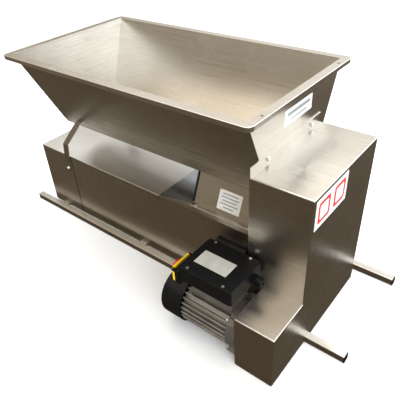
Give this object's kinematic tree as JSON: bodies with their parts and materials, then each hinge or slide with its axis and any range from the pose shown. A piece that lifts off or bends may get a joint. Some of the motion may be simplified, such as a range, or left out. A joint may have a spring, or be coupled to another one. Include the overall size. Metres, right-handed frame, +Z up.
{
  "type": "grape crusher destemmer",
  "caption": "Stainless crusher destemmer: V hopper with feed auger, lobed crushing rollers, perforated screen with paddle beater, motor and belt and chain drive in a side housing.",
  "frame": {"origin": "on the floor, under the middle of the whole machine's box", "axes": "+X from the stem outlet to the drive housing along the bars, +Y to the rear, +Z up"},
  "size_m": [1.32, 0.612, 0.64],
  "materials": {
    "stainless_sheet": "brushed stainless sheet",
    "stainless_bar": "satin stainless bar and tube",
    "machined_steel": "turned and cut steel",
    "electrical_steel": "stacked steel sheets",
    "screw_steel": "bright zinc",
    "black_rubber": "matt rubber",
    "cast_iron": "painted casting with machined faces",
    "bronze": "turned bronze",
    "cast_aluminium": "cast and machined aluminium",
    "black_plastic": "moulded black plastic",
    "yellow_plastic": "moulded yellow plastic",
    "red_plastic": "moulded red plastic",
    "green_plastic": "moulded green plastic"
  },
  "bodies": {
    "frame": {"front_bar": "stainless_bar", "rear_bar": "stainless_bar", "bar_end_plugs": "black_plastic", "cross_straps": "stainless_bar", "gear_plate": "stainless_sheet", "front_panel": "stainless_sheet", "outlet_front_panel": "stainless_sheet", "rear_panel": "stainless_sheet", "outlet_end_plate": "stainless_sheet", "top_cover": "stainless_sheet", "throat_plate": "stainless_sheet", "destemming_screen": "stainless_sheet", "outlet_bearing_bracket": "stainless_bar", "hopper": "stainless_sheet", "auger_trough": "stainless_sheet", "hopper_straps": "stainless_bar", "roller_box_front": "stainless_sheet", "roller_box_rear": "stainless_sheet", "roller_end_plate": "stainless_sheet", "flange_bearings": "cast_iron", "roller_bushes": "bronze", "drive_chains": "machined_steel", "drive_belt": "black_rubber", "gear_housing": "stainless_sheet", "motor_plate": "stainless_bar", "plate_spacers": "stainless_bar", "motor_body": "cast_aluminium", "motor_flange": "cast_aluminium", "fan_cover": "black_plastic", "stator_core": "electrical_steel", "terminal_box": "black_plastic", "terminal_box_lid": "black_plastic", "lid_screws": "screw_steel", "nameplate": "cast_aluminium", "cable_gland": "black_plastic", "capacitor": "black_plastic", "switch_housing": "black_plastic", "frame_screws": "screw_steel"},
    "beater": {"beater_shaft": "machined_steel", "beater_arms": "machined_steel", "beater_paddles": "black_rubber", "beater_sprocket": "machined_steel", "beater_pulley": "cast_iron"},
    "auger": {"auger_shaft": "machined_steel", "auger_flight": "machined_steel", "auger_sprocket": "machined_steel"},
    "front_roller": {"front_roller": "cast_aluminium", "front_roller_gear": "machined_steel", "roller_sprockets": "machined_steel"},
    "rear_roller": {"rear_roller": "cast_aluminium", "rear_roller_gear": "machined_steel"},
    "rotor": {"rotor_shaft": "machined_steel", "rotor_core": "electrical_steel", "motor_fan": "black_plastic", "motor_pulley": "cast_iron"},
    "flap": {"estop_flap": "yellow_plastic"},
    "mushroom": {"estop_mushroom": "red_plastic"},
    "start": {"start_button": "green_plastic"},
    "stop": {"stop_button": "red_plastic"}
  },
  "joints": [
    {"name": "beater_spin", "type": "hinge", "parent": "frame", "child": "beater", "pos_m": [0, 0.056, 0.14], "axis": [1, 0, 0], "continuous": true},
    {"name": "rotor_spin", "type": "hinge", "parent": "frame", "child": "rotor", "pos_m": [0.3, -0.2315, 0.091], "axis": [1, 0, 0], "continuous": true},
    {"name": "auger_spin", "type": "hinge", "parent": "frame", "child": "auger", "pos_m": [0, 0.056, 0.372], "axis": [1, 0, 0], "continuous": true},
    {"name": "front_roller_spin", "type": "hinge", "parent": "frame", "child": "front_roller", "pos_m": [0, 0.017, 0.298], "axis": [1, 0, 0], "continuous": true},
    {"name": "rear_roller_spin", "type": "hinge", "parent": "frame", "child": "rear_roller", "pos_m": [0, 0.095, 0.298], "axis": [1, 0, 0], "continuous": true},
    {"name": "flap_hinge", "type": "hinge", "parent": "frame", "child": "flap", "pos_m": [0.243, -0.267, 0.248], "axis": [0, 1, 0], "range_deg": [0, 110]},
    {"name": "mushroom_press", "type": "slide", "parent": "flap", "child": "mushroom", "axis": [1, 0, 0], "range_m": [0, 0.004], "stiffness_N_per_m": 300, "springref_m": -0.002},
    {"name": "start_press", "type": "slide", "parent": "frame", "child": "start", "axis": [1, 0, 0], "range_m": [0, 0.003], "stiffness_N_per_m": 300, "springref_m": -0.002},
    {"name": "stop_press", "type": "slide", "parent": "frame", "child": "stop", "axis": [1, 0, 0], "range_m": [0, 0.003], "stiffness_N_per_m": 300, "springref_m": -0.002}
  ],
  "couplings": [
    {"joint": "rotor_spin", "follows": "beater_spin", "ratio": 3.3667},
    {"joint": "front_roller_spin", "follows": "beater_spin", "ratio": 0.4516},
    {"joint": "rear_roller_spin", "follows": "beater_spin", "ratio": -0.4516},
    {"joint": "auger_spin", "follows": "beater_spin", "ratio": 0.2605}
  ]
}
